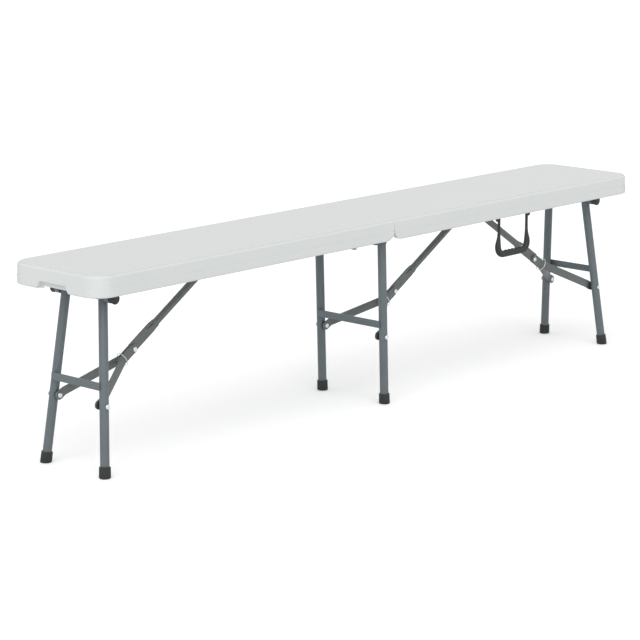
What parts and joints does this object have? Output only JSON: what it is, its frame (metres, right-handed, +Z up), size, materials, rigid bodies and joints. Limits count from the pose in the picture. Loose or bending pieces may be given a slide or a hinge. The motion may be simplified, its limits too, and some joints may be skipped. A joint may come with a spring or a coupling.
{
  "type": "folding bench",
  "caption": "Long narrow bench with a blow-moulded plastic seat on folding steel legs with braces; the seat folds in half and has a carrying handle.",
  "frame": {"origin": "on the floor under the seam between the two seat halves, midway across the width", "axes": "+X along the seat towards the half with the carrying handle, +Y from the handle side to the other side, +Z up"},
  "size_m": [1.83, 0.28, 0.44],
  "materials": {
    "seat_plastic": "blow-moulded polyethylene, off-white with a fine grain",
    "leg_steel": "powder-coated steel tube and strip, blue-grey satin",
    "black_plastic": "moulded black polypropylene, satin",
    "zinc": "bright zinc-plated steel wire, rivets and bolts"
  },
  "bodies": {
    "right_half": {"seat_right": "seat_plastic", "hinge_leaf_right": "leg_steel", "hinge_pin": "zinc", "strut_anchor_right": "leg_steel", "leg_bracket_right": "leg_steel", "handle_bracket": "black_plastic"},
    "left_half": {"seat_left": "seat_plastic", "hinge_leaf_left": "leg_steel", "strut_anchor_left": "leg_steel", "leg_bracket_left": "leg_steel"},
    "left_legs": {"left_leg_front": "leg_steel", "left_leg_back": "leg_steel", "left_foot_front": "black_plastic", "left_foot_back": "black_plastic", "left_pivot_tube": "leg_steel", "left_crossbar": "leg_steel", "left_leg_bolt_front": "zinc", "left_leg_bolt_back": "zinc", "left_tube_plug_front": "black_plastic", "left_tube_plug_back": "black_plastic"},
    "left_brace": {"left_brace_arm_front": "leg_steel", "left_brace_arm_back": "leg_steel", "left_elbow_rivet_front": "zinc", "left_elbow_rivet_back": "zinc"},
    "left_strut_link": {"left_strut": "leg_steel"},
    "left_ring": {"left_lock_ring_front": "zinc", "left_lock_ring_back": "zinc"},
    "centre_legs": {"centre_leg_front": "leg_steel", "centre_leg_back": "leg_steel", "centre_foot_front": "black_plastic", "centre_foot_back": "black_plastic", "centre_pivot_tube": "leg_steel", "centre_crossbar": "leg_steel", "centre_leg_bolt_front": "zinc", "centre_leg_bolt_back": "zinc"},
    "centre_brace": {"centre_brace_arm_front": "leg_steel", "centre_brace_arm_back": "leg_steel", "centre_elbow_rivet_front": "zinc", "centre_elbow_rivet_back": "zinc"},
    "centre_strut_link": {"centre_strut": "leg_steel"},
    "centre_ring": {"centre_lock_ring_front": "zinc", "centre_lock_ring_back": "zinc"},
    "right_legs": {"right_leg_front": "leg_steel", "right_leg_back": "leg_steel", "right_foot_front": "black_plastic", "right_foot_back": "black_plastic", "right_pivot_tube": "leg_steel", "right_crossbar": "leg_steel", "right_leg_bolt_front": "zinc", "right_leg_bolt_back": "zinc", "right_tube_plug_front": "black_plastic", "right_tube_plug_back": "black_plastic"},
    "right_brace": {"right_brace_arm_front": "leg_steel", "right_brace_arm_back": "leg_steel", "right_elbow_rivet_front": "zinc", "right_elbow_rivet_back": "zinc"},
    "right_strut_link": {"right_strut": "leg_steel"},
    "right_ring": {"right_lock_ring_front": "zinc", "right_lock_ring_back": "zinc"},
    "handle_bail": {"handle": "black_plastic"}
  },
  "joints": [
    {"name": "half_fold", "type": "hinge", "parent": "right_half", "child": "left_half", "pos_m": [0, 0, 0.36], "axis": [0, -1, 0], "range_deg": [0, 180]},
    {"name": "left_leg_fold", "type": "hinge", "parent": "left_half", "child": "left_legs", "pos_m": [-0.826, 0, 0.377], "axis": [0, -1, 0], "range_deg": [0, 96.31]},
    {"name": "left_brace_fold", "type": "hinge", "parent": "left_legs", "child": "left_brace", "pos_m": [-0.84816, 0, 0.15], "axis": [0, -1, 0], "range_deg": [0, 52.88]},
    {"name": "left_strut_fold", "type": "hinge", "parent": "left_half", "child": "left_strut_link", "pos_m": [-0.4525, 0, 0.392], "axis": [0, 1, 0], "range_deg": [0, 33.15]},
    {"name": "left_ring_slide", "type": "slide", "parent": "left_brace", "child": "left_ring", "axis": [0.8395, 0, 0.5434], "range_m": [0, 0.008]},
    {"name": "centre_leg_fold", "type": "hinge", "parent": "right_half", "child": "centre_legs", "pos_m": [0.0012, 0, 0.385], "axis": [0, -1, 0], "range_deg": [0, 89.01]},
    {"name": "centre_brace_fold", "type": "hinge", "parent": "centre_legs", "child": "centre_brace", "pos_m": [0.00804, 0, 0.16], "axis": [0, -1, 0], "range_deg": [0, 62.54]},
    {"name": "centre_strut_fold", "type": "hinge", "parent": "right_half", "child": "centre_strut_link", "pos_m": [0.4123, 0, 0.392], "axis": [0, 1, 0], "range_deg": [0, 32.49]},
    {"name": "centre_ring_slide", "type": "slide", "parent": "centre_brace", "child": "centre_ring", "axis": [0.8547, 0, 0.5191], "range_m": [0, 0.008]},
    {"name": "right_leg_fold", "type": "hinge", "parent": "right_half", "child": "right_legs", "pos_m": [0.826, 0, 0.377], "axis": [0, 1, 0], "range_deg": [0, 96.31]},
    {"name": "right_brace_fold", "type": "hinge", "parent": "right_legs", "child": "right_brace", "pos_m": [0.84816, 0, 0.15], "axis": [0, 1, 0], "range_deg": [0, 52.88]},
    {"name": "right_strut_fold", "type": "hinge", "parent": "right_half", "child": "right_strut_link", "pos_m": [0.4525, 0, 0.392], "axis": [0, -1, 0], "range_deg": [0, 33.15]},
    {"name": "right_ring_slide", "type": "slide", "parent": "right_brace", "child": "right_ring", "axis": [-0.8395, 0, 0.5434], "range_m": [0, 0.008]},
    {"name": "handle_swing", "type": "hinge", "parent": "right_half", "child": "handle_bail", "pos_m": [0.458, -0.118, 0.386], "axis": [-1, 0, 0], "range_deg": [0, 90]}
  ],
  "couplings": [
    {"joint": "left_leg_fold", "follows": "half_fold", "ratio": 0.535},
    {"joint": "left_brace_fold", "follows": "half_fold", "ratio": 0.29371},
    {"joint": "left_strut_fold", "follows": "half_fold", "ratio": 0.18408},
    {"joint": "centre_leg_fold", "follows": "half_fold", "ratio": 0.49444},
    {"joint": "centre_brace_fold", "follows": "half_fold", "ratio": 0.34737},
    {"joint": "centre_strut_fold", "follows": "half_fold", "ratio": 0.18043},
    {"joint": "right_leg_fold", "follows": "half_fold", "ratio": 0.535},
    {"joint": "right_brace_fold", "follows": "half_fold", "ratio": 0.29371},
    {"joint": "right_strut_fold", "follows": "half_fold", "ratio": 0.18408}
  ]
}
